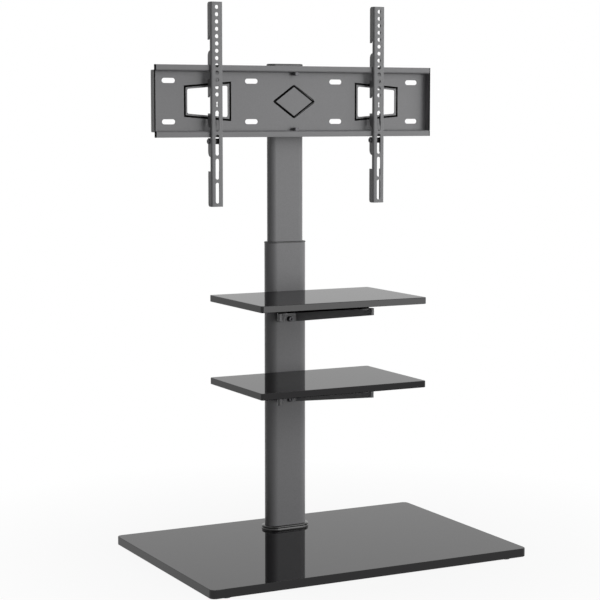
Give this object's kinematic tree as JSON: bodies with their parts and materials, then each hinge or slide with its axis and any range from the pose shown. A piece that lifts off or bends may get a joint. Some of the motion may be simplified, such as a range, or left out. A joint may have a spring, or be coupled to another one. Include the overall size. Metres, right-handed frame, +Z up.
{
  "type": "tv stand with mount",
  "caption": "Floor stand for a television: gloss base board, height-adjustable oval column, media shelves, and a swivelling slotted tray with hook-on screen arms.",
  "frame": {"origin": "on the floor, under the middle of the base board", "axes": "+X to the viewer's right, +Y to the back where the column stands, +Z up; the front with the shelves faces -Y"},
  "size_m": [0.73, 0.5, 1.1647],
  "materials": {
    "board": "high-gloss black lacquer on MDF",
    "steel": "fine-grained black powder coat",
    "trim": "polished black",
    "plastic": "satin black moulding",
    "rubber": "matt black",
    "zinc": "black oxide steel",
    "nylon": "black nylon"
  },
  "bodies": {
    "stand": {"base_board": "board", "base_feet": "rubber", "foot_ring": "trim", "column_foot_plate": "zinc", "under_plate": "zinc", "base_bolts": "zinc", "lower_column": "steel", "guide_bush": "plastic", "height_bolts": "zinc", "height_washers": "zinc", "clamp_plate": "zinc", "shelf_upper": "board", "shelf_lower": "board", "shelf_bracket_upper": "steel", "shelf_bracket_lower": "steel", "shelf_pads_upper": "rubber", "shelf_pads_lower": "rubber", "bracket_bolts": "zinc", "bracket_washers": "zinc", "bracket_nut_plates": "zinc"},
    "mast": {"upper_column": "steel", "column_cap": "plastic", "mast_glide": "plastic", "swivel_yoke": "steel", "yoke_bolts": "zinc", "yoke_nut_plate": "zinc", "pivot_washers": "nylon"},
    "head": {"mount_tray": "steel", "pivot_bolts": "zinc", "pivot_nuts": "zinc"},
    "left_arm": {"arm_left": "steel", "lock_screw_left": "zinc", "lock_sleeve_left": "plastic", "lock_nut_left": "zinc"},
    "right_arm": {"arm_right": "steel", "lock_screw_right": "zinc", "lock_sleeve_right": "plastic", "lock_nut_right": "zinc"}
  },
  "joints": [
    {"name": "height_slide", "type": "slide", "parent": "stand", "child": "mast", "axis": [0, 0, 1], "range_m": [-0.15, 0.05]},
    {"name": "swivel", "type": "hinge", "parent": "mast", "child": "head", "pos_m": [0, 0.107, 0.96], "axis": [0, 0, 1], "range_deg": [-30, 30]},
    {"name": "left_arm_slide", "type": "slide", "parent": "head", "child": "left_arm", "axis": [1, 0, 0], "range_m": [-0.107, 0.142]},
    {"name": "right_arm_slide", "type": "slide", "parent": "head", "child": "right_arm", "axis": [1, 0, 0], "range_m": [-0.144, 0.104]}
  ]
}
